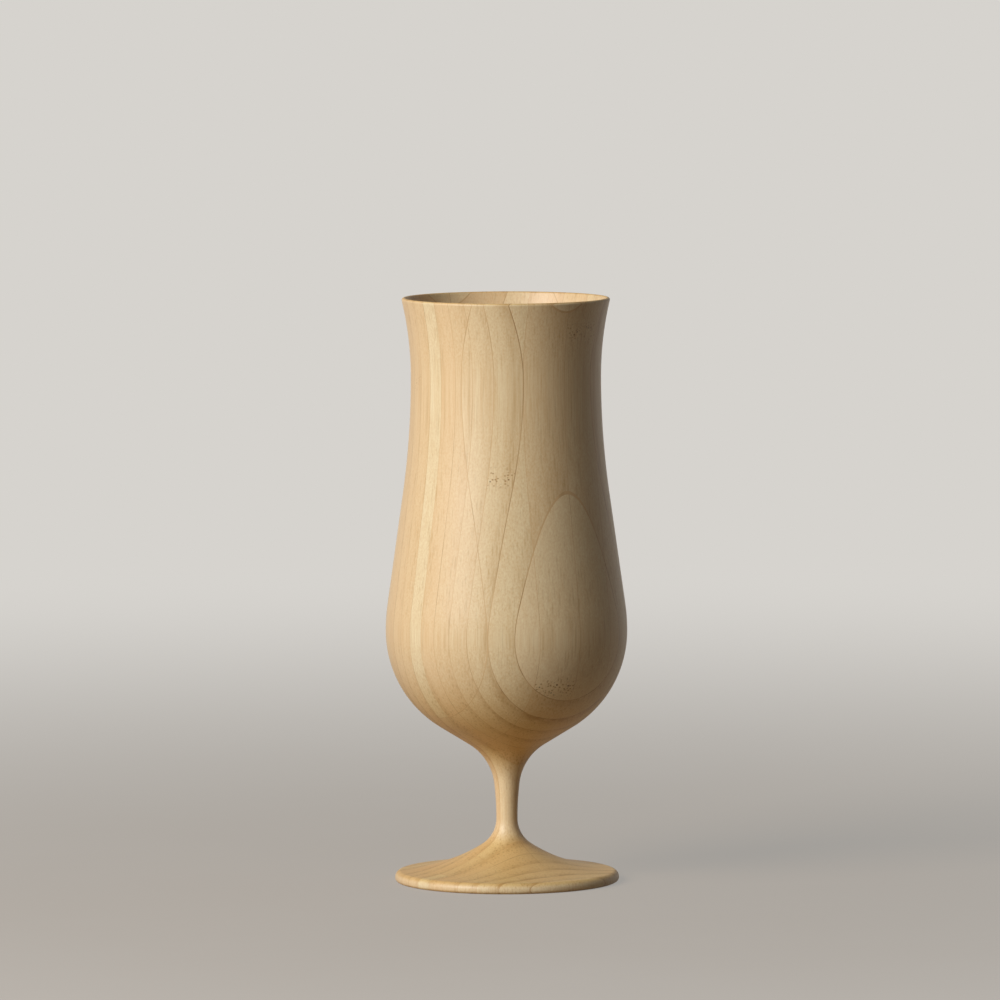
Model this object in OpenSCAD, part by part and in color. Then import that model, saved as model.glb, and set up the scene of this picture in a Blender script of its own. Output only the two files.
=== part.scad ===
// A stemmed drinking cup turned from one block of glued bamboo strips.
// The origin is the middle of the foot's underside, +Z points up, and the front faces -Y.
// Every strip is a piece of its own. Bands of glue join the strips to layers, and sheets of glue
// join the layers to the block.

/* [Foot] */
// Diameter of the foot
foot_d = 72.8; // [62:0.1:84]
// Thickness of the foot at its edge
foot_edge_t = 3.5; // [2:0.1:5]
// Rounding of the upper corner of the foot's edge
foot_edge_round = 2.1; // [0.4:0.1:2.6]
// Rounding of the lower corner of the foot's edge
foot_low_round = 1.2; // [0.3:0.1:1.6]
// Radius of the hollow curve on top of the foot
foot_top_curve = 54; // [40:1:90]
// Radius of the curve that leads from the foot up into the stem
foot_cove_curve = 10; // [7:0.5:13]

/* [Stem] */
// Diameter of the stem where it is narrowest
stem_d = 6.9; // [5.5:0.1:8.2]
// Height of that narrowest place above the table
stem_h = 20.5; // [17:0.5:26]
// Length of the stem from its narrowest place up to the bowl
stem_l = 11.4; // [8:0.1:20]
// Radius of the long hollow curve of the stem
stem_curve = 100; // [70:1:160]

/* [Bowl] */
// Height of the lip above the table
total_h = 190; // [176:0.5:215]
// Diameter of the belly, the widest place of the bowl
belly_d = 78.4; // [70:0.1:92]
// Height of the belly above the table
belly_h = 81.8; // [74:0.1:95]
// Diameter of the waist, the narrow place under the lip
waist_d = 61.6; // [52:0.1:66]
// Height of the waist above the table
waist_h = 164.5; // [140:0.5:170]
// Diameter of the lip
mouth_d = 67.4; // [67:0.1:76]
// Radius of the hollow curve that leads from the stem into the bowl
cove_curve = 17.5; // [10:0.5:22]
// Radius of the belly's curve below its widest place
belly_curve = 36.6; // [30:0.1:42]
// Radius of the belly's curve above its widest place
shoulder_curve = 62; // [45:1:90]
// Radius of the hollow curve that leads up to the waist
waist_curve = 270; // [180:5:330]

/* [Wall] */
// Thickness of the bowl's wall
wall_t = 2; // [1.8:0.1:3]
// Thickness of the lip, which is rounded all over
lip_t = 1.4; // [1:0.1:1.8]

/* [Bamboo strips] */
// Thickness of a layer, which is the thickness of one strip
layer_t = 5.37; // [4.5:0.01:7]
// Width of one strip
strip_w = 14.25; // [11:0.05:20]
// Distance of the first glue line between two layers in front of the axis
layer_offset = 0.95; // [0.8:0.05:2]
// Distance of the first glue line between two strips to the right of the axis
strip_offset = 0.85; // [0.5:0.05:3]
// Turn of the layers, seen from above, away from facing the front
layer_turn = 36; // [0:1:90]
// Thickness of the glue between two strips
glue_t = 0.15; // [0.1:0.01:0.3]
// Least depth of wood that gets a layer of its own at the front and at the back
least_layer = 1.5; // [1:0.1:3]
// Least width of wood that gets a strip of its own at the two ends of a layer
least_strip = 2; // [1.5:0.1:4]

/* [Hidden] */
// How far a chord may lie inside the curve that it stands for
curve_deviation = 0.04;
// How far the space of a strip reaches past the wood
overrun = 2;
$fn = 96;

foot_r = foot_d / 2;
stem_r = stem_d / 2;
belly_r = belly_d / 2;
waist_r = waist_d / 2;
mouth_r = mouth_d / 2;

// Points along a curve round a centre from one angle to another, with or without the last one
function curve(centre, r, from, to, last = false) =
    let (steps = max(2, ceil(abs(to - from) / (2 * acos(1 - curve_deviation / r)))))
    [for (i = [0:(last ? steps : steps - 1)])
        let (a = from + (to - from) * i / steps)
        centre + r * [cos(a), sin(a)]];

function angle_of(v) = atan2(v[1], v[0]);

// Foot: the top's hollow curve touches the cove below the stem and the rounding of the edge
edge_round = min(foot_edge_round, foot_edge_t * 0.62);
low_round = min(foot_low_round, foot_edge_t * 0.35);
edge_top = [foot_r - edge_round, foot_edge_t - edge_round];
edge_low = [foot_r - low_round, low_round];
foot_cove = [stem_r + foot_cove_curve, stem_h];
cove_to_edge = edge_top - foot_cove;
near_side = foot_top_curve - foot_cove_curve;
far_side = foot_top_curve + edge_round;
foot_span = norm(cove_to_edge);
foot_corner = acos((near_side * near_side + foot_span * foot_span - far_side * far_side)
    / (2 * near_side * foot_span));
foot_lean = angle_of(cove_to_edge) + foot_corner;
foot_top = foot_cove + near_side * [cos(foot_lean), sin(foot_lean)];
edge_lean = angle_of(foot_top - edge_top);

// Stem: its curve starts upright at the narrowest place and leans outwards at the bowl
stem_lean = asin(stem_l / stem_curve);
stem_centre = [stem_r + stem_curve, stem_h];
stem_end = stem_centre + stem_curve * [-cos(stem_lean), sin(stem_lean)];

// The part of two radii that fits between a hollow curve that starts at a point with a lean
// and a swelling curve that ends upright at a wider place
function fitting(start, lean, hollow, wide, swell) =
    let (across = start[0] - wide[0], along = wide[1] - start[1])
    let (out = hollow * cos(lean) + swell, up = hollow * sin(lean), both = hollow + swell)
    let (q = out * out + up * up - both * both, h = across * out + along * up)
    let (c = across * across + along * along)
    min(1, abs(q) < 1e-6 * both * both ? -c / (2 * h) : (-h - sqrt(h * h - q * c)) / q);

// Lean of the straight line that touches both curves
function line_lean(hollow_centre, hollow, swell_centre, swell) =
    let (run = abs(hollow_centre[0] - swell_centre[0]))
    let (rise = abs(swell_centre[1] - hollow_centre[1]))
    atan2(rise, run) - acos(min(1, (hollow + swell) / norm([run, rise])));

// Bowl below the belly
belly = [belly_r, belly_h];
low_fit = fitting(stem_end, stem_lean, cove_curve, belly, belly_curve);
cove_bend = cove_curve * low_fit;
belly_bend = belly_curve * low_fit;
cove_centre = stem_end + cove_bend * [cos(stem_lean), -sin(stem_lean)];
belly_centre = belly - [belly_bend, 0];
low_lean = line_lean(cove_centre, cove_bend, belly_centre, belly_bend);

// Bowl above the belly
high_fit = fitting([waist_r, -waist_h], 0, waist_curve, [belly_r, -belly_h], shoulder_curve);
waist_bend = waist_curve * high_fit;
shoulder_bend = shoulder_curve * high_fit;
waist_centre = [waist_r + waist_bend, waist_h];
shoulder_centre = [belly_r - shoulder_bend, belly_h];
high_lean = line_lean(waist_centre, waist_bend, shoulder_centre, shoulder_bend);

// Lip: both faces of the flare touch its rounding, and start upright at the waist
lip_r = lip_t / 2;
lip_centre = [mouth_r - lip_r, total_h - lip_r];
flare_h = lip_centre[1] - waist_h;
function flare_curve(from_r, side) =
    let (run = lip_centre[0] - from_r)
    (flare_h * flare_h + run * run - lip_r * lip_r) / (2 * (run + side * lip_r));
outer_flare = flare_curve(waist_r, 1);
outer_lean = asin(flare_h / (outer_flare + lip_r));
inner_waist_r = waist_r - wall_t;
inner_flare = flare_curve(inner_waist_r, -1);
inner_lean = asin(flare_h / (inner_flare - lip_r));

// Inside: a curve along the belly's that runs level at the bottom or ends at the axis
inner_belly = belly_bend - wall_t;
bottom_angle = belly_centre[0] > 0 ? 90 : acos(-belly_centre[0] / inner_belly);
bottom_h = belly_h - inner_belly * sin(bottom_angle);

// Half of the cup's section, from the middle of the underside up over the lip and down inside
section = concat(
    [[0, 0]],
    curve(edge_low, low_round, -90, 0, true),
    curve(edge_top, edge_round, 0, edge_lean),
    curve(foot_top, foot_top_curve, edge_lean - 180, foot_lean - 180),
    curve(foot_cove, foot_cove_curve, foot_lean + 180, 180),
    curve(stem_centre, stem_curve, 180, 180 - stem_lean),
    curve(cove_centre, cove_bend, 180 - stem_lean, 180 - low_lean, true),
    curve(belly_centre, belly_bend, -low_lean, 0),
    curve(shoulder_centre, shoulder_bend, 0, high_lean, true),
    curve(waist_centre, waist_bend, 180 + high_lean, 180),
    curve([waist_r + outer_flare, waist_h], outer_flare, 180, 180 - outer_lean),
    curve(lip_centre, lip_r, -outer_lean, 180 - inner_lean),
    curve([inner_waist_r + inner_flare, waist_h], inner_flare, 180 - inner_lean, 180),
    curve(waist_centre, waist_bend + wall_t, 180, 180 + high_lean, true),
    curve(shoulder_centre, shoulder_bend - wall_t, high_lean, 0),
    curve(belly_centre, inner_belly, 0, -bottom_angle, belly_centre[0] > 0),
    [[0, bottom_h]]
);

// Glue lines between layers, from the front to the back, where the turned form is as wide as r
function layer_lines(r) =
    let (ahead = floor((r - layer_offset - least_layer) / layer_t))
    let (behind = floor((r + layer_offset - least_layer) / layer_t))
    [for (k = [-ahead:behind]) k * layer_t - layer_offset];

// The front and back of each layer, where the outermost ones take in all that is left
function layers(r) =
    let (lines = concat([-r - overrun], layer_lines(r), [r + overrun]))
    [for (i = [0:len(lines) - 2]) [lines[i] + glue_t / 2, lines[i + 1] - glue_t / 2]];

// The left and right of each strip in a layer
function strips(r, layer) =
    let (nearest = layer[0] > 0 ? layer[0] : layer[1] < 0 ? -layer[1] : 0)
    let (half = sqrt(max(0, r * r - nearest * nearest)) - least_strip)
    let (first = ceil((-half - strip_offset) / strip_w), last = floor((half - strip_offset) / strip_w))
    let (inner = [for (k = [first:1:last]) strip_offset + k * strip_w])
    let (lines = concat([-r - overrun], inner, [r + overrun]))
    [for (i = [0:len(lines) - 2]) [lines[i] + glue_t / 2, lines[i + 1] - glue_t / 2]];

// A layer or a strip that lies against the glue line next to the axis carries the stem
function beside(span, line) = abs(span[0] - line) < glue_t || abs(span[1] - line) < glue_t;
function in_stem(layer, strip) = beside(layer, -layer_offset) && beside(strip, strip_offset);

bowl_layers = layers(belly_r);
foot_layers = layers(foot_r);
stem_cells = [for (layer = bowl_layers) for (strip = strips(belly_r, layer))
    if (in_stem(layer, strip)) [layer, strip]];

bamboo_colours = ["#E2C795", "#DDBE89", "#E8D0A2", "#D9B982"];
function bamboo_colour(i) = bamboo_colours[i % len(bamboo_colours)];
glue_colour = "#6B4A2B";

// The whole turned form
module turned_form() {
    rotate_extrude() polygon(section);
}

// The upright space between two lines across the layers and two along them
module upright_space(across, along, low, high) {
    rotate([0, 0, layer_turn])
        translate([along[0], across[0], low])
            cube([along[1] - along[0], across[1] - across[0], high - low]);
}

// The spaces of all strips of one layer but those that carry the stem
module layer_space(r, layer, low, high) {
    for (strip = strips(r, layer))
        if (!in_stem(layer, strip))
            upright_space(layer, strip, low, high);
}

// The spaces between the layers
module between_layers(r, low, high) {
    rows = layers(r);
    for (i = [1:len(rows) - 1])
        upright_space([rows[i - 1][1], rows[i][0]], [-r - overrun, r + overrun], low, high);
}

// The spaces between the strips of each layer
module between_strips(r, low, high) {
    for (layer = layers(r)) {
        row = strips(r, layer);
        for (i = [1:1:len(row) - 1])
            upright_space(layer, [row[i - 1][1], row[i][0]], low, high);
    }
}

// Bowl strips of one layer, numbered from the front
module bowl_layer(i) {
    color(bamboo_colour(i))
        intersection() {
            turned_form();
            layer_space(belly_r, bowl_layers[i - 1], stem_h, total_h + overrun);
        }
}

// Foot strips of one layer, numbered from the front
module foot_layer(i) {
    color(bamboo_colour(i + 1))
        intersection() {
            turned_form();
            layer_space(foot_r, foot_layers[i - 1], -overrun, stem_h);
        }
}

// One of the strips that run from the foot through the stem into the bowl
module stem_strip(i) {
    color(bamboo_colour(i + 2))
        intersection() {
            turned_form();
            upright_space(stem_cells[i - 1][0], stem_cells[i - 1][1], -overrun, total_h + overrun);
        }
}

// The sheets of glue that join layer to layer
module layer_glue() {
    color(glue_colour)
        intersection() {
            turned_form();
            union() {
                between_layers(belly_r, stem_h, total_h + overrun);
                between_layers(foot_r, -overrun, stem_h);
            }
        }
}

// The narrow bands of glue that join strip to strip within the layers
module strip_glue() {
    color(glue_colour)
        intersection() {
            turned_form();
            union() {
                between_strips(belly_r, stem_h, total_h + overrun);
                between_strips(foot_r, -overrun, stem_h);
            }
        }
}

for (i = [1:len(bowl_layers)]) bowl_layer(i);
for (i = [1:len(foot_layers)]) foot_layer(i);
for (i = [1:len(stem_cells)]) stem_strip(i);
layer_glue();
strip_glue();
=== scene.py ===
"""The finished look of a stemmed cup turned from glued bamboo strips.

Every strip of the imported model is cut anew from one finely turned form, and so is the glue between
the strips. Lengths are in metres. The strips' own directions are turned about the cup's axis: x runs
along a layer, and y runs through the layers from the front to the back.
"""

import math
import random
from collections import namedtuple

import bpy
import numpy as np
from mathutils import Matrix, Vector


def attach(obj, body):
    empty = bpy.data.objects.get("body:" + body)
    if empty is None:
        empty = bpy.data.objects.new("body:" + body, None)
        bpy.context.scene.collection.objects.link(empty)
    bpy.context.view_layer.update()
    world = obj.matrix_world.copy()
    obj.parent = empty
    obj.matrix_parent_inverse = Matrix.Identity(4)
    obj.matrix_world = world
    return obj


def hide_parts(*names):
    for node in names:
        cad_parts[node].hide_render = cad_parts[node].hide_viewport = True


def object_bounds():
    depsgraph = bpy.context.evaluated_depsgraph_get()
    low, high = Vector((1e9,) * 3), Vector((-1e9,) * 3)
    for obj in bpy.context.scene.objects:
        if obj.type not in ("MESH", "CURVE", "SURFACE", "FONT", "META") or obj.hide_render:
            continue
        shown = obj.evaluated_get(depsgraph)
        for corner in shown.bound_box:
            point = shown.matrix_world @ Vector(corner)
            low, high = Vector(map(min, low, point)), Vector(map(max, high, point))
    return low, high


bl_info = {
    "name": "Turned bamboo cup",
    "version": (1, 0, 0),
    "blender": (4, 5, 0),
    "location": "3D View > Sidebar > Cup",
    "description": "Cuts a turned cup from glued bamboo strips and gives it its finish",
    "category": "Add Mesh",
}

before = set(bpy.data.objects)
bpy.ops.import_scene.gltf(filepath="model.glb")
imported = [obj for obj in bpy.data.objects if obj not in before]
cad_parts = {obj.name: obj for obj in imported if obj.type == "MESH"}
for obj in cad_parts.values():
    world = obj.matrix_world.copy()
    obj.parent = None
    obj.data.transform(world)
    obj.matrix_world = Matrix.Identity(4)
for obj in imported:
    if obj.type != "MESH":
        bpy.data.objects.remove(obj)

MM = 0.001
QUARTER = math.pi / 2
BODY = "root"
CAD_LOW, CAD_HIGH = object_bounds()

# How far the spaces that cut the pieces reach below the foot and above the lip
END_OVERRUN = MM

# Distance up to which points of the turned form become one
MERGE_DISTANCE = 0.001 * MM

# Largest turn between two rings of a curve, and the angle up to which faces are shaded as one
RING_TURN = math.radians(4)
SMOOTH_ANGLE = math.radians(6)

# Largest shares of the foot's edge that its upper and its lower rounding may take up
TOP_ROUND_SHARE, LOW_ROUND_SHARE = 0.62, 0.35


def length(name, description, millimetres, low=0):
    """A property for a length, given in millimetres and kept in metres."""
    return bpy.props.FloatProperty(
        name=name, description=description, default=millimetres * MM, min=low, precision=5, unit="LENGTH"
    )


def angle(name, description, degrees):
    """A property for an angle, given in degrees and kept in radians."""
    return bpy.props.FloatProperty(
        name=name, description=description, default=math.radians(degrees), subtype="ANGLE"
    )


def number(name, description, default):
    """A property for a plain positive number."""
    return bpy.props.FloatProperty(name=name, description=description, default=default, min=0)


def share(name, description, default):
    """A property for a share between nothing and all."""
    return bpy.props.FloatProperty(
        name=name, description=description, default=default, min=0, max=1, subtype="FACTOR"
    )


def colour(name, description, hexadecimal):
    """A property for a colour, given as its usual code and kept in linear light."""
    parts = [int(hexadecimal[i : i + 2], 16) / 255 for i in (1, 3, 5)]
    linear = [c / 12.92 if c < 0.04045 else ((c + 0.055) / 1.055) ** 2.4 for c in parts]
    return bpy.props.FloatVectorProperty(
        name=name, description=description, default=linear, size=3, min=0, max=1, subtype="COLOR"
    )


class CupSizes(bpy.types.PropertyGroup):
    """Sizes of the turned form."""

    total_h: length("Height", "Height of the lip above the table", CAD_HIGH.z / MM)
    belly_d: length("Belly", "Diameter of the belly", (CAD_HIGH.x - CAD_LOW.x) / MM)
    foot_d: length("Foot", "Diameter of the foot", 72.8)
    foot_edge_t: length("Foot's edge", "Thickness of the foot at its edge", 3.5)
    foot_edge_round: length("Edge's top", "Rounding of the upper corner of the foot's edge", 2.1)
    foot_low_round: length("Edge's underside", "Rounding of the lower corner of the foot's edge", 1.2)
    foot_top_curve: length("Foot's top", "Radius of the hollow curve on top of the foot", 54)
    foot_cove_curve: length("Foot's cove", "Radius of the curve from the foot into the stem", 10)
    stem_d: length("Stem", "Diameter of the stem where it is narrowest", 6.9)
    stem_h: length("Stem's height", "Height of the stem's narrowest place", 20.5)
    stem_l: length("Stem's length", "Length from the narrowest place up to the bowl", 11.4)
    stem_curve: length("Stem's curve", "Radius of the stem's long hollow curve", 100)
    belly_h: length("Belly's height", "Height of the belly's widest place", 81.8)
    waist_d: length("Waist", "Diameter of the narrow place under the lip", 61.6)
    waist_h: length("Waist's height", "Height of the waist", 164.5)
    mouth_d: length("Mouth", "Diameter of the lip", 67.4)
    cove_curve: length("Bowl's cove", "Radius of the curve from the stem into the bowl", 17.5)
    belly_curve: length("Belly's curve", "Radius of the belly below its widest place", 36.6)
    shoulder_curve: length("Shoulder", "Radius of the belly above its widest place", 62)
    waist_curve: length("Waist's curve", "Radius of the hollow curve up to the waist", 270)
    wall_t: length("Wall", "Thickness of the bowl's wall", 2)
    lip_t: length("Lip", "Thickness of the rounded lip", 1.4)
    step: length("Fineness", "Longest step between two rings of the turned form", 1.5)
    rim_steps: bpy.props.IntProperty(
        name="Steps around", description="Steps of a full turn", default=240, min=24
    )


class StripSizes(bpy.types.PropertyGroup):
    """Sizes of the bamboo strips and of the glue between them."""

    layer_t: length("Layer", "Thickness of a layer of strips", 5.37)
    strip_w: length("Strip", "Width of a strip", 14.25)
    layer_offset: length("Layers' place", "Distance of a layer's glue in front of the axis", 0.95)
    strip_offset: length("Strips' place", "Distance of a strip's glue right of the axis", 0.85)
    glue_t: length("Glue", "Thickness of the glue", 0.15)
    least_layer: length("Least layer", "Least depth of wood that is a layer of its own", 1.5)
    least_strip: length("Least strip", "Least width of wood that is a strip of its own", 2)
    overrun: length("Overrun", "How far a strip's space reaches past the wood", 2)
    turn: angle("Turn", "Turn of the layers from facing the front", 36)


class BambooLook(bpy.types.PropertyGroup):
    """Colours and grain of the bamboo and the glue."""

    dark_wood: colour("Darkest bamboo", "Colour of the darkest streaks", "#DAB783")
    pale_wood: colour("Palest bamboo", "Colour of the palest streaks", "#F4E3BB")
    warm_wood: colour("Warm tint", "Colour that warm strips lean to", "#E8BC8A")
    end_tint: colour("End grain", "Tint of wood whose fibres are cut across", "#F7EAC8")
    end_bands: share("End bands", "How strongly the slats' outer sides show in the end grain", 0.2)
    fibre: colour("Fibres", "Colour of the fibre bundles", "#B58B50")
    dash: colour("Node dashes", "Colour of the short dashes where the cane has a node", "#A27137")
    mark: colour("Node dots", "Colour of the dots where the cane has a node", "#5C3014")
    pale_glue: colour("Pale glue", "Colour of a thin glue line", "#DDB988")
    dark_glue: colour("Dark glue", "Colour of a thick glue line", "#85592A")
    glue_clouds: number("Glue's clouds", "How far the thickness of the glue varies along a line", 1.1)
    warmth_share: share("Warmth", "How far the warmest strips lean to the warm tint", 0.6)
    streak_contrast: share("Streaks", "How strongly the fine streaks show", 0.44)
    bundle_gap: length("Bundle spacing", "Distance between two fibre bundles", 0.95)
    bundle_l: length("Bundle length", "Length over which a bundle wanders off", 34)
    bundle_share: share("Bundles", "How strongly the bundles show", 0.42)
    bundle_rise: share("Bundles' rise", "How much more they show at a node and in the end grain", 0.45)
    dark_fibre_share: share("Dark fibres", "How strongly single dark fibres show", 0.45)
    dash_share: share("Dashes' strength", "How strongly the dashes of a node show", 0.75)
    dot_share: share("Dots' strength", "How strongly the dots of a node show", 0.85)
    roughness: share("Roughness", "Roughness of the sanded and oiled surface", 0.44)
    gloss: share("Gloss", "Strength of the surface's own reflection", 0.42)
    relief: share("Relief", "Strength of the grain's relief", 0.25)
    relief_depth: length("Relief's depth", "Depth of the grain's relief", 0.03)
    coat: share("Oil", "Weight of the thin oil film", 0.06)
    coat_roughness: share("Oil's roughness", "Roughness of the oil film", 0.34)


class StageLook(bpy.types.PropertyGroup):
    """Floor, light and camera."""

    floor: colour("Floor", "Colour of the floor", "#937F69")
    backdrop: colour("Backdrop", "Colour that the floor fades to", "#D6D3CE")
    floor_r: length("Floor's size", "Radius of the floor", 6000)
    fade_start: length("Fade's start", "Distance at which the floor starts to fade", 60)
    fade_end: length("Fade's end", "Distance at which the floor has faded to the backdrop", 1100)
    fade_low: share("Fade at the cup", "Share of the backdrop's colour in the floor by the cup", 0.5)
    key_power: number("Main lamp", "Power of the main lamp in watts", 27)
    key_size: length("Main lamp's size", "Side of the square main lamp", 900)
    key_distance: length("Main lamp's distance", "Distance of the main lamp from the cup", 1600)
    key_azimuth: angle("Main lamp's side", "Turn of the main lamp from the front to the right", -48)
    key_elevation: angle("Main lamp's rise", "Rise of the main lamp above the level", 26)
    fill: number("Fill light", "Strength of the light from all sides", 0.02)
    aim_h: length("Aim", "Height on the cup's axis that lamp and camera look at", 124.25)
    camera_distance: length("Camera's distance", "Distance of the camera from the cup's axis", 2922.9)
    camera_aside: length("Camera's place", "How far right of the axis the camera stands", -2.02, low=-100)
    camera_elevation: angle("Camera's rise", "Angle at which the camera looks down", 4.78)
    camera_roll: angle("Camera's roll", "Turn of the camera about its line of sight", -0.135)
    lens: number("Lens", "Focal length of the camera in millimetres", 324.6)
    sensor: number("Sensor", "Width of the camera's sensor in millimetres", 36)


# What the faces of a strip hold for the bamboo's material
StripLook = namedtuple("StripLook", "layer tone warmth dense seed node_height node_strength")

# Tone, warmth and dense side of the layers by their number. The side's sign says front or back.
LAYER_LOOKS = {
    -7: (0.58, 0.15, 0.15), -6: (0.45, 0.18, 0.12), -5: (0.52, 0.22, 0.35), -4: (0.53, 0.42, 0.10),
    -3: (0.53, 0.38, 0.06), -2: (0.61, 0.58, -0.10), -1: (0.57, 0.32, 0.06), 0: (0.50, 0.57, 0.08),
    1: (0.53, 0.58, 0.06), 2: (0.42, 0.82, 0.08), 3: (0.50, 0.65, -0.10), 4: (0.56, 0.40, 0.08),
    5: (0.46, 0.55, 0.10), 6: (0.58, 0.30, -0.08), 7: (0.52, 0.55, 0.08),
}

# The same for layers past these, and for single strips that differ from their layer
PLAIN_LOOK = (0.5, 0.5, 0.1)
ODD_LOOKS = {(-1, -3): (0.625, 0.15, 0.03), (-6, -2): (0.51, 0.06, 0.12)}

# How far the tone and the warmth of a strip may differ from its layer's
TONE_SPREAD, WARMTH_SPREAD = 0.05, 0.15

# Height and strength of the marks of the cane's node, by the numbers of layer and strip
NODES = {
    (-5, -2): (134 * MM, 1), (-7, -1): (66.5 * MM, 0.95), (-4, -3): (181 * MM, 0.35),
    (-6, 0): (180 * MM, 0.6), (1, -3): (163 * MM, 0.3),
}
NO_NODE = (0, 0)

# How often a strip behind or at the right has a node, and how strong its marks are
NODE_CHANCE, NODE_STRENGTHS = 0.35, (0.3, 0.8)

# How dark the lines of glue are, by their number, between layers and between strips. The others
# are somewhere between the least and the most.
SHEET_STRENGTHS = {-6: 0.38, -5: 0.40, -4: 0.18}
BAND_STRENGTHS = {-2: 0.15, -1: 0.15}
OTHER_STRENGTHS = (0.05, 0.3)

# How squarely the surface cuts a line of glue where it starts to show and where it shows fully
LINE_SQUARENESS = (0.1, 0.5)

# Fineness of the patterns a millimetre: along the layer, through it and upwards
WANDER = (0.03, 0.03, 0.035)
PATCHES = (0.16, 0.6, 0.03)
FINE_STREAKS = (3.4, 3.4, 0.3)
LONG_STREAKS = (1.7, 1.7, 0.025)
SHORT_STREAKS = (1.9, 1.9, 1.2)
MIDDLE_STREAKS = (0.5, 0.5, 0.02)
BROAD_STREAKS = (0.06, 0.06, 0.02)
NODE_DASHES = (0.95, 0.95, 1.35)
NODE_DOTS = (0.9, 0.9, 0.9)
DARK_FIBRES = (0.45, 0.45, 0.07)
GLUE_CLOUDS = (0.25, 0.25, 0.06)

# How far the pattern moves from strip to strip and wanders within one, in millimetres
SEED_SHIFT = (370, 530, 710)
WANDER_REACH = (1.2, 1.2, 0)

# Steepest lean of a strip's fibres, along its layer and through it
LEAN_ALONG, LEAN_THROUGH = 0.015, 0.01

# What the seed is multiplied by for a second number that is just as random
SECOND_SEED = 7.3

# Height of the surface's normal over which streaks turn short, and over which end grain shows
SHORT_STREAK_LEAN, END_GRAIN_LEAN = (0.015, 0.1), (0.2, 0.9)

# Strength of the streaks. The long and the short ones have one where the fibres run along the
# surface and one where it cuts them.
FINE_STRENGTH, MIDDLE_STRENGTH, BROAD_STRENGTH = 1.1, 0.6, 0.35
LONG_STRENGTHS, SHORT_STRENGTHS = (2.8, 0.5), (0.9, 2.4)

# Size of a fibre bundle in its cell, and its strength, on a slat's inner side and its outer side
BUNDLE_SIZES, BUNDLE_STRENGTHS = (0.25, 0.5), (0.4, 1)

# Where dense wood starts on the way to a slat's outer side, and how strong its patches are
DENSE_START, PATCH_STRENGTHS = 0.45, (0.3, 1.5)

# Distance from a node's middle up to which its marks are full, and where they end, in millimetres
NODE_REACH = (0.8, 4.6)

# Height of the fine streaks, beside the depth of a bundle or a node's mark
FINE_RELIEF_SHARE = 0.4

# How much rougher the surface is with the fine streaks, in the end grain and on a bundle
FINE_ROUGHNESS, END_ROUGHNESS, BUNDLE_ROUGHNESS = 0.06, 0.1, -0.08

# Roughness of the glue where its cloud is weakest and strongest
GLUE_ROUGHNESS = (0.42, 0.52)


def circle_point(centre, radius, turn):
    """Point of a circle, as radius from the axis and height."""
    return (centre[0] + radius * math.cos(turn), centre[1] + radius * math.sin(turn))


def curve(centre, radius, start, end, step):
    """Points along a curve, with steps short enough for its shading to be smooth."""
    count = math.ceil(abs(end - start) / min(RING_TURN, step / radius))
    return [circle_point(centre, radius, start + (end - start) * i / count) for i in range(count + 1)]


def filled(points, step):
    """The same outline, with points at most two steps apart on its rising straight stretches."""
    result = [points[0]]
    for (r0, z0), (r1, z1) in zip(points, points[1:]):
        count = math.ceil(math.hypot(r1 - r0, z1 - z0) / (2 * step))
        if r0 > 0 and r1 > 0 and z1 > z0:
            result += [(r0 + (r1 - r0) * i / count, z0 + (z1 - z0) * i / count) for i in range(1, count)]
        result.append((r1, z1))
    return result


def fitting(start, lean, hollow, wide, swell):
    """Part of two radii that fits between a hollow curve from start and a swelling curve to wide.

    With this part of both radii the two curves just touch, which is a square equation for it.
    """
    across, along = start[0] - wide[0], wide[1] - start[1]
    out, up, both = hollow * math.cos(lean) + swell, hollow * math.sin(lean), hollow + swell
    squared = out * out + up * up - both * both
    halved = across * out + along * up
    constant = across * across + along * along
    if math.isclose(out * out + up * up, both * both, rel_tol=1e-6):
        return min(1, -constant / (2 * halved))
    return min(1, (-halved - math.sqrt(halved * halved - squared * constant)) / squared)


def line_lean(hollow_centre, hollow, swell_centre, swell):
    """Lean of the straight line that touches a hollow and a swelling curve."""
    run, rise = abs(hollow_centre[0] - swell_centre[0]), abs(swell_centre[1] - hollow_centre[1])
    return math.atan2(rise, run) - math.acos(min(1, (hollow + swell) / math.hypot(run, rise)))


def foot_outline(size):
    """Outline of the foot, from the middle of its underside up to the stem's narrowest place."""
    rounding = min(size.foot_edge_round, size.foot_edge_t * TOP_ROUND_SHARE)
    low_rounding = min(size.foot_low_round, size.foot_edge_t * LOW_ROUND_SHARE)
    low = (size.foot_d / 2 - low_rounding, low_rounding)
    top = (size.foot_d / 2 - rounding, size.foot_edge_t - rounding)
    cove = (size.stem_d / 2 + size.foot_cove_curve, size.stem_h)
    run, rise = top[0] - cove[0], top[1] - cove[1]
    near, far = size.foot_top_curve - size.foot_cove_curve, size.foot_top_curve + rounding
    span = math.hypot(run, rise)
    corner = math.acos((near * near + span * span - far * far) / (2 * near * span))
    lean = math.atan2(rise, run) + corner
    hollow = circle_point(cove, near, lean)
    edge_lean = math.atan2(hollow[1] - top[1], hollow[0] - top[0])
    return (
        [(0, 0)]
        + curve(low, low_rounding, -QUARTER, 0, size.step)
        + curve(top, rounding, 0, edge_lean, size.step)
        + curve(hollow, size.foot_top_curve, edge_lean - math.pi, lean - math.pi, size.step)
        + curve(cove, size.foot_cove_curve, lean + math.pi, math.pi, size.step)
    )


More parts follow.
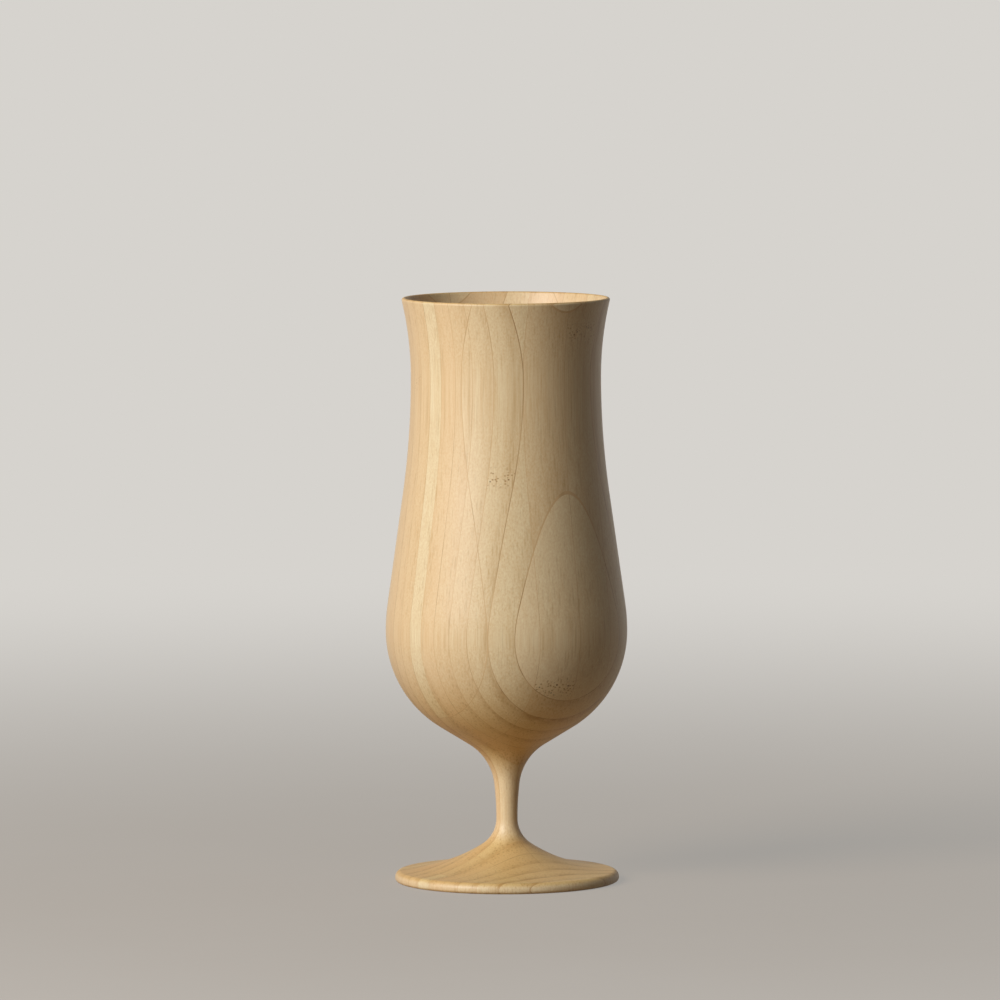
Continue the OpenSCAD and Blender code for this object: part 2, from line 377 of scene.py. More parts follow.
def bowl_outline(size):
    """Outline of the stem and the bowl, from the stem's narrowest place over the lip to the inside."""
    stem_lean = math.asin(size.stem_l / size.stem_curve)
    stem_centre = (size.stem_d / 2 + size.stem_curve, size.stem_h)
    stem_end = circle_point(stem_centre, size.stem_curve, math.pi - stem_lean)
    belly, waist = (size.belly_d / 2, size.belly_h), (size.waist_d / 2, size.waist_h)

    fit = fitting(stem_end, stem_lean, size.cove_curve, belly, size.belly_curve)
    cove_bend, belly_bend = size.cove_curve * fit, size.belly_curve * fit
    cove = circle_point(stem_end, cove_bend, -stem_lean)
    belly_centre = (belly[0] - belly_bend, belly[1])
    low_lean = line_lean(cove, cove_bend, belly_centre, belly_bend)

    # The waist and the belly are fitted upside down, with the hollow curve below the swelling one
    low_waist, high_belly = (waist[0], -waist[1]), (belly[0], -belly[1])
    fit = fitting(low_waist, 0, size.waist_curve, high_belly, size.shoulder_curve)
    waist_bend, shoulder_bend = size.waist_curve * fit, size.shoulder_curve * fit
    waist_centre = (waist[0] + waist_bend, waist[1])
    shoulder = (belly[0] - shoulder_bend, belly[1])
    high_lean = line_lean(waist_centre, waist_bend, shoulder, shoulder_bend)

    lip_r = size.lip_t / 2
    lip = (size.mouth_d / 2 - lip_r, size.total_h - lip_r)
    flare_h = lip[1] - waist[1]

    def flare(start_r, side):
        run = lip[0] - start_r
        bend = (flare_h * flare_h + run * run - lip_r * lip_r) / (2 * (run + side * lip_r))
        return bend, math.asin(flare_h / (bend + side * lip_r))

    outer_bend, outer_lean = flare(waist[0], 1)
    inner_r = waist[0] - size.wall_t
    inner_bend, inner_lean = flare(inner_r, -1)
    inner_belly = belly_bend - size.wall_t
    return (
        curve(stem_centre, size.stem_curve, math.pi, math.pi - stem_lean, size.step)
        + curve(cove, cove_bend, math.pi - stem_lean, math.pi - low_lean, size.step)
        + curve(belly_centre, belly_bend, -low_lean, 0, size.step)
        + curve(shoulder, shoulder_bend, 0, high_lean, size.step)
        + curve(waist_centre, waist_bend, math.pi + high_lean, math.pi, size.step)
        + curve((waist[0] + outer_bend, waist[1]), outer_bend, math.pi, math.pi - outer_lean, size.step)
        + curve(lip, lip_r, -outer_lean, math.pi - inner_lean, size.step)
        + curve((inner_r + inner_bend, waist[1]), inner_bend, math.pi - inner_lean, math.pi, size.step)
        + curve(waist_centre, waist_bend + size.wall_t, math.pi, math.pi + high_lean, size.step)
        + curve(shoulder, shoulder_bend - size.wall_t, high_lean, 0, size.step)
        + curve(belly_centre, inner_belly, 0, -QUARTER, size.step)
        + [(0, belly[1] - inner_belly)]
    )


class Tree:
    """The nodes of a material or of the world, added one by one and linked as they come."""

    def __init__(self, owner):
        owner.use_nodes = True
        self.nodes, self.links = owner.node_tree.nodes, owner.node_tree.links
        self.nodes.clear()

    def add(self, kind, sockets=(), **settings):
        """Add a node. Each input named in sockets gets a value or another node's output."""
        node = self.nodes.new("ShaderNode" + kind)
        for name, value in settings.items():
            setattr(node, name, value)
        for key, value in dict(sockets).items():
            if isinstance(value, bpy.types.NodeSocket):
                self.links.new(value, node.inputs[key])
            else:
                node.inputs[key].default_value = value
        return node

    def math(self, operation, *values, clamp=False):
        """A calculation with numbers."""
        return self.add("Math", enumerate(values), operation=operation, use_clamp=clamp).outputs[0]

    def vector(self, operation, *values):
        """A calculation with vectors."""
        return self.add("VectorMath", enumerate(values), operation=operation).outputs[0]

    def between(self, part, first, second):
        """A number between two numbers."""
        return self.math("MULTIPLY_ADD", part, second - first, first)

    def mix(self, part, first, second):
        """A colour between two colours."""
        return self.add("Mix", {0: part, 6: first, 7: second}, data_type="RGBA").outputs[2]

    def tint(self, part, base, tint):
        """A colour that is tinted in part by another one."""
        sockets = {0: part, 6: base, 7: tint}
        return self.add("Mix", sockets, data_type="RGBA", blend_type="MULTIPLY").outputs[2]

    def ramp(self, value, start, end, low=0, high=1):
        """A soft step from low to high while the value goes from start to end."""
        sockets = {"Value": value, "From Min": start, "From Max": end, "To Min": low, "To Max": high}
        return self.add("MapRange", sockets, interpolation_type="SMOOTHSTEP").outputs[0]

    def attribute(self, name):
        """A number that the faces of a piece hold."""
        return self.add("Attribute", attribute_name=name).outputs["Fac"]

    def clouds(self, place, fineness, output="Fac"):
        """A cloudy pattern, as a number or, with output Color, as three numbers."""
        fine_place = self.vector("MULTIPLY", place, fineness)
        return self.add("TexNoise", {"Vector": fine_place, "Scale": 1, "Detail": 2}).outputs[output]

    def cells(self, place, fineness):
        """A pattern of cells, each with a colour of its own and the distance from its middle."""
        fine_place = self.vector("MULTIPLY", place, fineness)
        return self.add("TexVoronoi", {"Vector": fine_place, "Scale": 1}).outputs

    def specks(self, place, fineness, rarity, inner, outer):
        """Scattered specks. The higher the rarity, the fewer of the cells hold one."""
        cells = self.cells(place, fineness)
        chance = self.add("SeparateColor", {0: cells["Color"]}).outputs[0]
        shape = self.ramp(cells["Distance"], inner, outer, low=1, high=0)
        return self.math("MULTIPLY", shape, self.math("GREATER_THAN", chance, rarity))

    def fibre_cut(self, least, most):
        """How squarely the surface cuts the upright fibres across, from least to most."""
        rise = self.add("SeparateXYZ", {0: self.add("TexCoord").outputs["Normal"]}).outputs["Z"]
        return self.ramp(self.math("ABSOLUTE", rise), least, most)

    def end_grain(self):
        """How clearly the surface shows the ends of the fibres."""
        return self.fibre_cut(*END_GRAIN_LEAN)


def opaque(rgb):
    """A colour with full cover."""
    return (*rgb, 1)


def oiled_surface(tree, looks, sockets):
    """Finish a material as a sanded surface under a thin film of oil."""
    shader = tree.add("BsdfPrincipled", {
        **sockets,
        "Specular IOR Level": looks.gloss,
        "Coat Weight": looks.coat,
        "Coat Roughness": looks.coat_roughness,
    })
    tree.add("OutputMaterial", {"Surface": shader.outputs[0]})


def strip_grain(tree, place, height):
    """Place in each strip's own grain, which leans a little, and the same where it also wanders."""
    seed = tree.attribute("strip_seed")
    second_seed = tree.math("FRACT", tree.math("MULTIPLY", seed, SECOND_SEED))
    lean = tree.add("CombineXYZ", {
        "X": tree.between(seed, -LEAN_ALONG, LEAN_ALONG),
        "Y": tree.between(second_seed, -LEAN_THROUGH, LEAN_THROUGH),
    }).outputs[0]
    leaning = tree.vector("MULTIPLY_ADD", lean, height, place)
    own = tree.vector("MULTIPLY_ADD", seed, SEED_SHIFT, leaning)
    wander = tree.vector("SUBTRACT", tree.clouds(own, WANDER, "Color"), (0.5, 0.5, 0.5))
    return own, tree.vector("MULTIPLY_ADD", wander, WANDER_REACH, own)


def outer_side(tree, through, strips):
    """How near the dense outer side of the cane is, from 0 on a slat's other side to 1 there."""
    from_first = tree.math("ADD", through, strips.layer_offset / MM)
    layers = tree.math("DIVIDE", from_first, strips.layer_t / MM)
    in_layer = tree.math("SUBTRACT", layers, tree.attribute("strip_layer"), clamp=True)
    in_front = tree.math("LESS_THAN", tree.attribute("strip_dense"), 0)
    from_side = tree.math("SUBTRACT", in_layer, in_front)
    return tree.math("SUBTRACT", 1, tree.math("ABSOLUTE", from_side))


def fibre_bundles(tree, grain, outer, looks):
    """Thick fibres, closer and darker towards the slat's outer side."""
    gap, run = looks.bundle_gap / MM, looks.bundle_l / MM
    distance = tree.cells(grain, (1 / gap, 1 / gap, 1 / run))["Distance"]
    edge = tree.between(outer, *BUNDLE_SIZES)
    bundles = tree.math("SUBTRACT", 1, tree.math("DIVIDE", distance, edge), clamp=True)
    return tree.math("MULTIPLY", bundles, tree.between(outer, *BUNDLE_STRENGTHS))


def dense_wood(tree, grain, outer, end, looks):
    """Patches of denser wood near the slat's outer side, which the end grain shows best."""
    depth = tree.math("ABSOLUTE", tree.attribute("strip_dense"))
    depth = tree.math("MULTIPLY_ADD", end, looks.end_bands, depth, clamp=True)
    patches = tree.ramp(tree.clouds(grain, PATCHES), 0.3, 0.7, *PATCH_STRENGTHS)
    nearness = tree.ramp(outer, DENSE_START, 1)
    return tree.math("MULTIPLY", nearness, tree.math("MULTIPLY", depth, patches))


def streaked_tone(tree, own, grain, fine, contrast):
    """Tone of the wood: long streaks where fibres run along the surface, short where it cuts them."""
    cut = tree.fibre_cut(*SHORT_STREAK_LEAN)
    tone = tree.attribute("strip_tone")
    for streaks, strength in (
        (fine, FINE_STRENGTH),
        (tree.clouds(grain, LONG_STREAKS), tree.between(cut, *LONG_STRENGTHS)),
        (tree.clouds(grain, SHORT_STREAKS), tree.between(cut, *SHORT_STRENGTHS)),
        (tree.clouds(grain, MIDDLE_STREAKS), MIDDLE_STRENGTH),
        (tree.clouds(own, BROAD_STREAKS), BROAD_STRENGTH),
    ):
        centred = tree.math("MULTIPLY", tree.math("SUBTRACT", streaks, 0.5), contrast)
        tone = tree.math("MULTIPLY_ADD", centred, strength, tone)
    return tree.math("MAXIMUM", tree.math("MINIMUM", tone, 1), 0)


def node_marks(tree, grain, height):
    """Where the cane had a node: the band round it, its short level dashes and its few brown dots."""
    node_height = tree.math("MULTIPLY", tree.attribute("strip_node_height"), 1 / MM)
    away = tree.math("ABSOLUTE", tree.math("SUBTRACT", height, node_height))
    near = tree.ramp(away, *NODE_REACH, low=1, high=0)
    band = tree.math("MULTIPLY", near, tree.attribute("strip_node_strength"))
    dashes = tree.specks(grain, NODE_DASHES, rarity=0.25, inner=0.16, outer=0.48)
    dots = tree.specks(grain, NODE_DOTS, rarity=0.8, inner=0.16, outer=0.36)
    return band, tree.math("MULTIPLY", dashes, band), tree.math("MULTIPLY", dots, band)


def bamboo_material(looks, strips):
    """Sanded bamboo: each strip has its own tone, upright fibre bundles, streaks and node marks.

    The patterns are worked out in millimetres, along the layer, through it and upwards.
    """
    tree = Tree(bpy.data.materials.new("cup_bamboo"))
    place = tree.add("Mapping", {
        "Vector": tree.add("TexCoord").outputs["Object"],
        "Rotation": (0, 0, -strips.turn),
        "Scale": (1 / MM, 1 / MM, 1 / MM),
    }).outputs[0]
    axes = tree.add("SeparateXYZ", {0: place}).outputs

    own, grain = strip_grain(tree, place, axes["Z"])
    outer = outer_side(tree, axes["Y"], strips)
    end = tree.end_grain()
    fine = tree.clouds(grain, FINE_STREAKS)
    fibres = fibre_bundles(tree, grain, outer, looks)
    dark_fibres = tree.specks(grain, DARK_FIBRES, rarity=0.93, inner=0.06, outer=0.14)
    band, dashes, dots = node_marks(tree, grain, axes["Z"])

    tone = streaked_tone(tree, own, grain, fine, looks.streak_contrast)
    warmth = tree.math("MULTIPLY", tree.attribute("strip_warmth"), looks.warmth_share)
    bare = tree.math("MAXIMUM", band, end)
    clarity = tree.math("MULTIPLY_ADD", bare, looks.bundle_rise, looks.bundle_share)
    wood = tree.mix(tone, opaque(looks.dark_wood), opaque(looks.pale_wood))
    for part, shade in (
        (warmth, looks.warm_wood),
        (dense_wood(tree, grain, outer, end, looks), looks.fibre),
        (tree.math("MULTIPLY", fibres, clarity), looks.fibre),
        (tree.math("MULTIPLY", dark_fibres, looks.dark_fibre_share), looks.fibre),
    ):
        wood = tree.mix(part, wood, opaque(shade))
    wood = tree.tint(end, wood, opaque(looks.end_tint))
    wood = tree.mix(tree.math("MULTIPLY", dashes, looks.dash_share), wood, opaque(looks.dash))
    wood = tree.mix(tree.math("MULTIPLY", dots, looks.dot_share), wood, opaque(looks.mark))

    sunk = tree.math("ADD", fibres, tree.math("MAXIMUM", dashes, dots))
    bump = tree.add("Bump", {
        "Height": tree.math("SUBTRACT", tree.math("MULTIPLY", fine, FINE_RELIEF_SHARE), sunk),
        "Strength": looks.relief,
        "Distance": looks.relief_depth,
    })
    roughness = tree.between(fine, looks.roughness - FINE_ROUGHNESS, looks.roughness + FINE_ROUGHNESS)
    for part, change in (end, END_ROUGHNESS), (fibres, BUNDLE_ROUGHNESS):
        roughness = tree.math("MULTIPLY_ADD", part, change, roughness)
    oiled_surface(tree, looks, {"Base Color": wood, "Roughness": roughness, "Normal": bump.outputs[0]})


def glue_material(looks):
    """Cured resin, which shows darker where it is thicker, and clouds along the joint."""
    tree = Tree(bpy.data.materials.new("cup_glue"))
    place = tree.vector("MULTIPLY", tree.add("TexCoord").outputs["Object"], (1 / MM, 1 / MM, 1 / MM))
    cloud = tree.clouds(place, GLUE_CLOUDS)
    centred = tree.math("SUBTRACT", cloud, 0.5)
    thickness = tree.math("MULTIPLY_ADD", centred, looks.glue_clouds, tree.attribute("line_strength"))
    resin = tree.mix(tree.ramp(thickness, 0, 1), opaque(looks.pale_glue), opaque(looks.dark_glue))
    resin = tree.tint(tree.end_grain(), resin, opaque(looks.end_tint))
    roughness = tree.between(cloud, *GLUE_ROUGHNESS)
    oiled_surface(tree, looks, {"Base Color": resin, "Roughness": roughness})


def floor_material(looks):
    """Pale floor that keeps the cup's shadow nearby and fades into the backdrop further off."""
    material = bpy.data.materials.new("stage_floor")
    tree = Tree(material)
    place = tree.add("TexCoord").outputs["Object"]
    cloud = tree.add("TexNoise", {"Vector": place, "Scale": 9, "Detail": 3}).outputs["Fac"]
    shade = tree.mix(tree.ramp(cloud, 0.3, 0.7, high=0.04), opaque(looks.floor), opaque(looks.backdrop))
    matt = tree.add("BsdfPrincipled", {"Base Color": shade, "Roughness": 0.85, "Specular IOR Level": 0.1})
    glow = tree.add("Emission", {"Color": opaque(looks.backdrop), "Strength": 1})
    distance = tree.add("VectorMath", {0: place}, operation="LENGTH").outputs["Value"]
    fade = tree.ramp(distance, looks.fade_start, looks.fade_end, low=looks.fade_low)
    faded = tree.math("MULTIPLY", fade, seen(tree))
    surface = tree.add("MixShader", {0: faded, 1: matt.outputs[0], 2: glow.outputs[0]})
    tree.add("OutputMaterial", {"Surface": surface.outputs[0]})
    return material


def seen(tree):
    """1 for a ray that shows the background itself, and 0 for one that only brings its light."""
    path = tree.add("LightPath").outputs
    rays = tree.math("ADD", path["Is Camera Ray"], path["Is Glossy Ray"])
    return tree.math("ADD", rays, path["Is Transmission Ray"], clamp=True)


def spans(lines, reach, strips):
    """Spaces between neighbouring glue lines, the outermost ones as far as the wood reaches and more."""
    edge, half_glue = reach + strips.overrun, strips.glue_t / 2
    starts = [-edge] + [line + half_glue for line in lines]
    ends = [line - half_glue for line in lines] + [edge]
    return list(zip(starts, ends))


def layer_spans(reach, strips):
    """Space of each layer by its number, from the front to the back."""
    ahead = math.floor((reach - strips.layer_offset - strips.least_layer) / strips.layer_t)
    behind = math.floor((reach + strips.layer_offset - strips.least_layer) / strips.layer_t)
    lines = [number * strips.layer_t - strips.layer_offset for number in range(-ahead, behind + 1)]
    return dict(zip(range(-ahead - 1, behind + 1), spans(lines, reach, strips)))


def strip_spans(reach, layer, strips):
    """Space of each strip of a layer by its number, from the left to the right."""
    nearest = max(layer[0], -layer[1], 0)
    half = math.sqrt(max(0, reach * reach - nearest * nearest)) - strips.least_strip
    first = math.ceil((-half - strips.strip_offset) / strips.strip_w)
    last = math.floor((half - strips.strip_offset) / strips.strip_w)
    lines = [number * strips.strip_w + strips.strip_offset for number in range(first, last + 1)]
    return dict(zip(range(first - 1, last + 1), spans(lines, reach, strips)))


def sheet_lines(reach, strips):
    """Space of each sheet of glue, by the number of the layer in front of it."""
    layers, edge = layer_spans(reach, strips), reach + strips.overrun
    fronts = [layer for layer in layers if layer + 1 in layers]
    return {layer: ((layers[layer][1], layers[layer + 1][0]), (-edge, edge)) for layer in fronts}


def band_lines(reach, strips):
    """Space of each band of glue, by the numbers of its layer and of the strip at its left."""
    found = {}
    for layer, across in layer_spans(reach, strips).items():
        row = strip_spans(reach, across, strips)
        for number in list(row)[:-1]:
            found[layer, number] = (across, (row[number][1], row[number + 1][0]))
    return found


def glue_spaces(lines, size, strips):
    """Spaces of the glue lines, each as high as the bowl, the foot or both have it."""
    of_bowl, of_foot = lines(size.belly_d / 2, strips), lines(size.foot_d / 2, strips)
    spaces = []
    for key in sorted({*of_bowl, *of_foot}):
        across, along = of_bowl.get(key) or of_foot[key]
        low = -END_OVERRUN if key in of_foot else size.stem_h
        high = size.total_h + END_OVERRUN if key in of_bowl else size.stem_h
        spaces.append((across, along, low, high))
    return spaces


def in_stem(layer, strip):
    """Whether a strip is one of the four round the axis that run through the stem."""
    return layer in (-1, 0) and strip in (-1, 0)


def select(*objects):
    """Select these objects alone, and make the first one active."""
    bpy.ops.object.select_all(action="DESELECT")
    for item in objects:
        item.select_set(True)
    bpy.context.view_layer.objects.active = objects[0]


def add_space(across, along, low, high, turn):
    """An upright block of space that cuts one strip or one line of glue from the turned form."""
    middle = Vector((sum(along) / 2, sum(across) / 2, (low + high) / 2))
    bpy.ops.mesh.primitive_cube_add(
        size=1,
        location=Matrix.Rotation(turn, 3, "Z") @ middle,
        rotation=(0, 0, turn),
        scale=(along[1] - along[0], across[1] - across[0], high - low),
    )
    return bpy.context.object


def cut_piece(name, spaces, turn):
    """The part of the turned form that lies in some upright spaces, as a piece of its own."""
    blocks = [add_space(*space, turn) for space in spaces]
    select(*blocks)
    bpy.ops.object.join()
    cutter = bpy.context.object

    select(bpy.data.objects["turned_form"])
    bpy.ops.object.duplicate()
    piece = bpy.context.object
    piece.name = piece.data.name = name
    saw = piece.modifiers.new("Saw", "BOOLEAN")
    saw.operation, saw.solver, saw.object = "INTERSECT", "MANIFOLD", cutter
    bpy.ops.object.modifier_apply(modifier=saw.name)
    if not piece.data.polygons:
        raise RuntimeError(f"nothing is left of {name}")
    bpy.data.objects.remove(cutter)
    select(piece)
    bpy.ops.object.shade_smooth_by_angle(angle=SMOOTH_ANGLE)
    return piece


def place_piece(piece, node, material):
    """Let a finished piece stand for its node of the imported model."""
    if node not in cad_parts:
        raise RuntimeError(f"the packed model has no {node}")
    piece.data.materials.clear()
    piece.data.materials.append(bpy.data.materials[f"cup_{material}"])
    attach(piece, BODY)
    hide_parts(node)


def strip_look(layer, strip, size):
    """The look of one strip, the same each time."""
    dice = random.Random(layer * 100 + strip)
    tone, warmth, dense = ODD_LOOKS.get((layer, strip)) or LAYER_LOOKS.get(layer, PLAIN_LOOK)
    tone += dice.uniform(-TONE_SPREAD, TONE_SPREAD)
    warmth += dice.uniform(-WARMTH_SPREAD, WARMTH_SPREAD)
    seed = dice.random()
    node = NO_NODE
    if (layer > 2 or strip > 0) and dice.random() < NODE_CHANCE:
        node = dice.uniform(0, size.total_h), dice.uniform(*NODE_STRENGTHS)
    return StripLook(layer, tone, warmth, dense, seed, *NODES.get((layer, strip), node))


def face_vectors(piece, kind, strips):
    """Centre or normal of each face, as its parts along the layers and through them."""
    values = np.empty(3 * len(piece.data.polygons))
    piece.data.polygons.foreach_get(kind, values)
    x, y, _ = values.reshape(-1, 3).T
    cos, sin = math.cos(strips.turn), math.sin(strips.turn)
    return x * cos + y * sin, y * cos - x * sin


def keep_on_faces(piece, name, values):
    """Keep a number on each face, where the material reads it."""
    piece.data.attributes.new(name, "FLOAT", "FACE").data.foreach_set("value", values)


def note_strips(piece, layer, strip_numbers, size, strips):
    """Keep each strip's look on its faces."""
    along, _ = face_vectors(piece, "center", strips)
    numbers = np.floor((along - strips.strip_offset) / strips.strip_w).astype(int)
    rows = np.clip(numbers, min(strip_numbers), max(strip_numbers)) - min(strip_numbers)
    looks = np.array([strip_look(layer, number, size) for number in sorted(strip_numbers)])
    for name, values in zip(StripLook._fields, looks.T):
        keep_on_faces(piece, "strip_" + name, values[rows])


def note_glue(piece, numbers, known, leans):
    """Keep on each face of the glue how dark its line is, as known or as a guess.

    Where the surface runs almost along the joint, only a thin skin of glue is left over the wood.
    """
    numbers = np.round(numbers).astype(int)
    guessed = {n: random.Random(int(n)).uniform(*OTHER_STRENGTHS) for n in np.unique(numbers)}
    strengths = np.array([known.get(n, guessed[n]) for n in numbers])
    squareness = np.sqrt(np.clip(1 - leans * leans, 0, 1))
    keep_on_faces(piece, "line_strength", strengths * np.interp(squareness, LINE_SQUARENESS, (0, 1)))


def cut_layers(context, node, reach, low, high):
    """Cut every layer between two heights, but for the strips that carry the stem."""
    size, strips = context.scene.cup_sizes, context.scene.cup_strips
    layers = layer_spans(reach, strips)
    nodes = [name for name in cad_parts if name.startswith(node)]
    if len(nodes) != len(layers):
        raise RuntimeError(f"there are {len(layers)} layers, and {len(nodes)} nodes for them")
    for place, (layer, across) in enumerate(layers.items(), start=1):
        row = strip_spans(reach, across, strips)
        kept = {number: along for number, along in row.items() if not in_stem(layer, number)}
        spaces = [(across, along, low, high) for along in kept.values()]
        piece = cut_piece(f"{node}_{place}_bamboo", spaces, strips.turn)
        note_strips(piece, layer, list(row), size, strips)
        place_piece(piece, f"{node}_{place}", "bamboo")


def add_main_lamp(looks):
    """Add the square lamp that shines on the cup from one side."""
    side, rise = looks.key_azimuth, looks.key_elevation
    way = Vector((math.sin(side) * math.cos(rise), -math.cos(side) * math.cos(rise), math.sin(rise)))
    place = Vector((0, 0, looks.aim_h)) + way * looks.key_distance
    bpy.ops.object.light_add(type="AREA", location=place)
    lamp = bpy.context.object
    lamp.name = lamp.data.name = "main_lamp"
    lamp.data.size, lamp.data.energy = looks.key_size, looks.key_power
    lamp.rotation_euler = way.to_track_quat("Z", "Y").to_euler()


def backdrop_world(looks):
    """A world that shows as the plain backdrop and gives only a little light from all sides."""
    world = bpy.data.worlds.new("stage_world")
    tree = Tree(world)
    light = tree.add("Background", {"Color": (1, 1, 1, 1), "Strength": looks.fill})
    backdrop = tree.add("Background", {"Color": opaque(looks.backdrop), "Strength": 1})
    mixed = tree.add("MixShader", {0: seen(tree), 1: light.outputs[0], 2: backdrop.outputs[0]})
    tree.add("OutputWorld", {"Surface": mixed.outputs[0]})
    return world


def add_camera(looks):
    """Add the camera, which looks a little down on the cup from far off."""
    down, far = looks.camera_elevation, looks.camera_distance
    place = (looks.camera_aside, -far * math.cos(down), looks.aim_h + far * math.sin(down))
    bpy.ops.object.camera_add(location=place)
    camera = bpy.context.object
    camera.name = camera.data.name = "stage_camera"
    level = Matrix.Rotation(QUARTER - down, 3, "X")
    camera.rotation_euler = (level @ Matrix.Rotation(looks.camera_roll, 3, "Z")).to_euler()
    camera.data.sensor_width, camera.data.lens = looks.sensor, looks.lens
    return camera


class CUP_OT_turned_form(bpy.types.Operator):
    """Turn the whole form that the strips and the glue are cut from"""

    bl_idname = "cup.turned_form"
    bl_label = "Turned form"

    def execute(self, context):
        size = context.scene.cup_sizes
        points = filled(foot_outline(size) + bowl_outline(size)[1:], size.step)

        # A point on the axis is drawn out to the outline, which is spun into the whole form
        bpy.ops.object.select_all(action="DESELECT")
        bpy.ops.mesh.primitive_plane_add(size=size.foot_d)
        form = context.object
        form.name = form.data.name = "turned_form"
        bpy.ops.object.mode_set(mode="EDIT")
        bpy.ops.mesh.merge(type="CENTER")
        for (r0, z0), (r1, z1) in zip(points, points[1:]):
            bpy.ops.mesh.extrude_region_move(TRANSFORM_OT_translate={"value": (r1 - r0, 0, z1 - z0)})
        bpy.ops.mesh.select_all(action="SELECT")
        bpy.ops.mesh.spin(steps=size.rim_steps, angle=math.tau, center=(0, 0, 0), axis=(0, 0, 1))
        bpy.ops.mesh.select_all(action="SELECT")
        bpy.ops.mesh.remove_doubles(threshold=MERGE_DISTANCE)
        bpy.ops.mesh.normals_make_consistent(inside=False)
        bpy.ops.object.mode_set(mode="OBJECT")
        return {"FINISHED"}


class CUP_OT_bamboo(bpy.types.Operator):
    """Make the bamboo's finish, with its fibres, its tones and the marks of the cane's nodes"""

    bl_idname = "cup.bamboo"
    bl_label = "Bamboo"

    def execute(self, context):
        bamboo_material(context.scene.cup_bamboo, context.scene.cup_strips)
        return {"FINISHED"}


class CUP_OT_glue(bpy.types.Operator):
    """Make the finish of the glue lines"""

    bl_idname = "cup.glue"
    bl_label = "Glue"

    def execute(self, context):
        glue_material(context.scene.cup_bamboo)
        return {"FINISHED"}


class CUP_OT_bowl_layers(bpy.types.Operator):
    """Cut the strips of the bowl, layer by layer"""

    bl_idname = "cup.bowl_layers"
    bl_label = "Bowl's strips"

    def execute(self, context):
        size = context.scene.cup_sizes
        cut_layers(context, "bowl_layer", size.belly_d / 2, size.stem_h, size.total_h + END_OVERRUN)
        return {"FINISHED"}


class CUP_OT_foot_layers(bpy.types.Operator):
    """Cut the strips of the foot, layer by layer"""

    bl_idname = "cup.foot_layers"
    bl_label = "Foot's strips"

    def execute(self, context):
        size = context.scene.cup_sizes
        cut_layers(context, "foot_layer", size.foot_d / 2, -END_OVERRUN, size.stem_h)
        return {"FINISHED"}


class CUP_OT_stem_strips(bpy.types.Operator):
    """Cut the four strips that run from the foot through the stem into the bowl"""

    bl_idname = "cup.stem_strips"
    bl_label = "Stem's strips"

    def execute(self, context):
        size, strips = context.scene.cup_sizes, context.scene.cup_strips
        reach = size.belly_d / 2
        place = 0
        for layer, across in layer_spans(reach, strips).items():
            for number, along in strip_spans(reach, across, strips).items():
                if not in_stem(layer, number):
                    continue
                place += 1
                space = (across, along, -END_OVERRUN, size.total_h + END_OVERRUN)
                piece = cut_piece(f"stem_strip_{place}_bamboo", [space], strips.turn)
                note_strips(piece, layer, [number], size, strips)
                place_piece(piece, f"stem_strip_{place}", "bamboo")
        return {"FINISHED"}


class CUP_OT_layer_glue(bpy.types.Operator):
    """Cut the sheets of glue that join layer to layer"""

    bl_idname = "cup.layer_glue"
    bl_label = "Glue sheets"

    def execute(self, context):
        size, strips = context.scene.cup_sizes, context.scene.cup_strips
        piece = cut_piece("layer_glue_sheets", glue_spaces(sheet_lines, size, strips), strips.turn)
        _, through = face_vectors(piece, "center", strips)
        _, leans = face_vectors(piece, "normal", strips)
        note_glue(piece, (through + strips.layer_offset) / strips.layer_t, SHEET_STRENGTHS, leans)
        place_piece(piece, "layer_glue", "glue")
        return {"FINISHED"}


class CUP_OT_strip_glue(bpy.types.Operator):
    """Cut the narrow bands of glue that join strip to strip"""

    bl_idname = "cup.strip_glue"
    bl_label = "Glue bands"

    def execute(self, context):
        size, strips = context.scene.cup_sizes, context.scene.cup_strips
        piece = cut_piece("strip_glue_bands", glue_spaces(band_lines, size, strips), strips.turn)
        along, _ = face_vectors(piece, "center", strips)
        leans, _ = face_vectors(piece, "normal", strips)
        note_glue(piece, (along - strips.strip_offset) / strips.strip_w, BAND_STRENGTHS, leans)
        place_piece(piece, "strip_glue", "glue")
        return {"FINISHED"}


class CUP_OT_clear_form(bpy.types.Operator):
    """Remove the turned form once every piece is cut from it"""

    bl_idname = "cup.clear_form"
    bl_label = "Clear the turned form"

    def execute(self, context):
        bpy.data.objects.remove(bpy.data.objects["turned_form"])
        return {"FINISHED"}


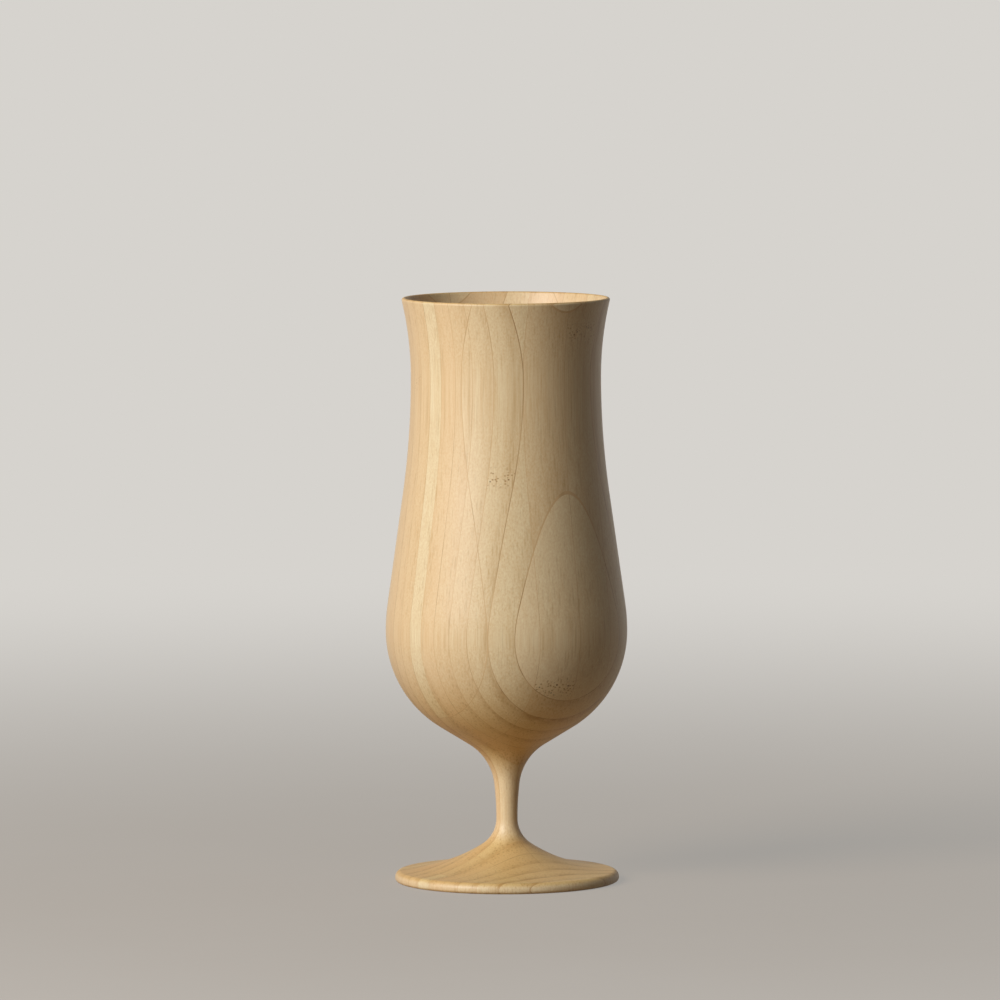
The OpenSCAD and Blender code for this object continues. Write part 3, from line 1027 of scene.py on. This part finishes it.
class CUP_OT_stage(bpy.types.Operator):
    """Set up the floor, the lamp, the light from all sides and the camera"""

    bl_idname = "cup.stage"
    bl_label = "Floor, light and camera"

    def execute(self, context):
        looks = context.scene.cup_stage
        bpy.ops.object.select_all(action="DESELECT")
        bpy.ops.mesh.primitive_circle_add(vertices=128, radius=looks.floor_r, fill_type="NGON")
        floor = context.object
        floor.name = floor.data.name = "stage_floor"
        floor.data.materials.append(floor_material(looks))

        add_main_lamp(looks)
        context.scene.world = backdrop_world(looks)
        context.scene.camera = add_camera(looks)
        context.scene.view_settings.view_transform = "Standard"
        return {"FINISHED"}


GROUPS = {
    "cup_sizes": CupSizes, "cup_strips": StripSizes, "cup_bamboo": BambooLook, "cup_stage": StageLook,
}
OPERATORS = (
    CUP_OT_turned_form, CUP_OT_bamboo, CUP_OT_glue, CUP_OT_bowl_layers, CUP_OT_foot_layers,
    CUP_OT_stem_strips, CUP_OT_layer_glue, CUP_OT_strip_glue, CUP_OT_clear_form, CUP_OT_stage,
)


class CUP_PT_steps(bpy.types.Panel):
    """Sizes, looks and steps of the cup"""

    bl_idname = "CUP_PT_steps"
    bl_label = "Turned bamboo cup"
    bl_space_type = "VIEW_3D"
    bl_region_type = "UI"
    bl_category = "Cup"

    def draw(self, context):
        for name, group in GROUPS.items():
            box = self.layout.box()
            for item in group.__annotations__:
                box.prop(getattr(context.scene, name), item)
        for operator in OPERATORS:
            self.layout.operator(operator.bl_idname)


def register():
    """Make the sizes, the steps and the panel known to Blender."""
    for item in (*GROUPS.values(), *OPERATORS, CUP_PT_steps):
        bpy.utils.register_class(item)
    for name, group in GROUPS.items():
        setattr(bpy.types.Scene, name, bpy.props.PointerProperty(type=group))


def unregister():
    """Take the panel, the steps and the sizes away again."""
    for name in GROUPS:
        delattr(bpy.types.Scene, name)
    for item in reversed((*GROUPS.values(), *OPERATORS, CUP_PT_steps)):
        bpy.utils.unregister_class(item)


def main():
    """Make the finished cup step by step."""
    register()
    for operator in OPERATORS:
        section, step = operator.bl_idname.split(".")
        getattr(getattr(bpy.ops, section), step)()


if __name__ == "__main__":
    main()
